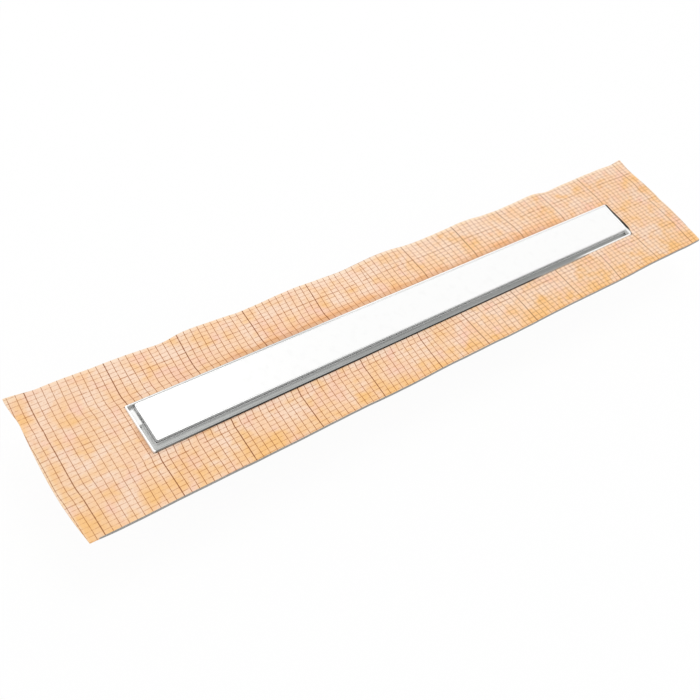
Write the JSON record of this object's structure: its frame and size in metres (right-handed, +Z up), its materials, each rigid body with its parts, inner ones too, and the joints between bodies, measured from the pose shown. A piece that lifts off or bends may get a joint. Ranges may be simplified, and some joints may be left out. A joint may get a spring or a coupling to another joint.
{
  "type": "linear shower drain",
  "caption": "Low steel channel drain for a tiled shower floor: rimmed trough with a loose white tray cover, bonded sealing collar, water trap with side outlet, levelling legs",
  "frame": {"origin": "on the floor under the trap's axis, at the middle of the trap's base", "axes": "+X along the channel, +Y across it towards the outlet, +Z up"},
  "size_m": [1.143, 0.195, 0.0863],
  "materials": {
    "channel_steel": "brushed, bright on the rim",
    "collar_fleece": "fleece, printed with a brown grid",
    "black_butyl": "matt",
    "tray_steel": "brushed",
    "white_panel": "smooth white",
    "grey_moulding": "moulded",
    "white_moulding": "moulded",
    "black_rubber": "matt",
    "zinc_steel": "zinc plated"
  },
  "bodies": {
    "root": {"channel_body": "channel_steel", "membrane_collar": "collar_fleece", "bond_tape": "black_butyl", "cover_tray": "tray_steel", "cover_panel": "white_panel", "cover_feet": "grey_moulding", "end_spacer": "white_moulding", "hair_strainer": "tray_steel", "clamp_ring": "grey_moulding", "mouth_gasket": "black_rubber", "dip_tube": "grey_moulding", "dip_seal_ring": "black_rubber", "trap_cup": "grey_moulding", "trap_housing": "white_moulding", "outlet_seal": "black_rubber", "outlet_nut": "grey_moulding", "outlet_spigot": "white_moulding", "leg_brackets": "channel_steel", "levelling_bolts": "zinc_steel", "lock_nuts": "zinc_steel", "foot_pads": "black_rubber"}
  },
  "joints": []
}
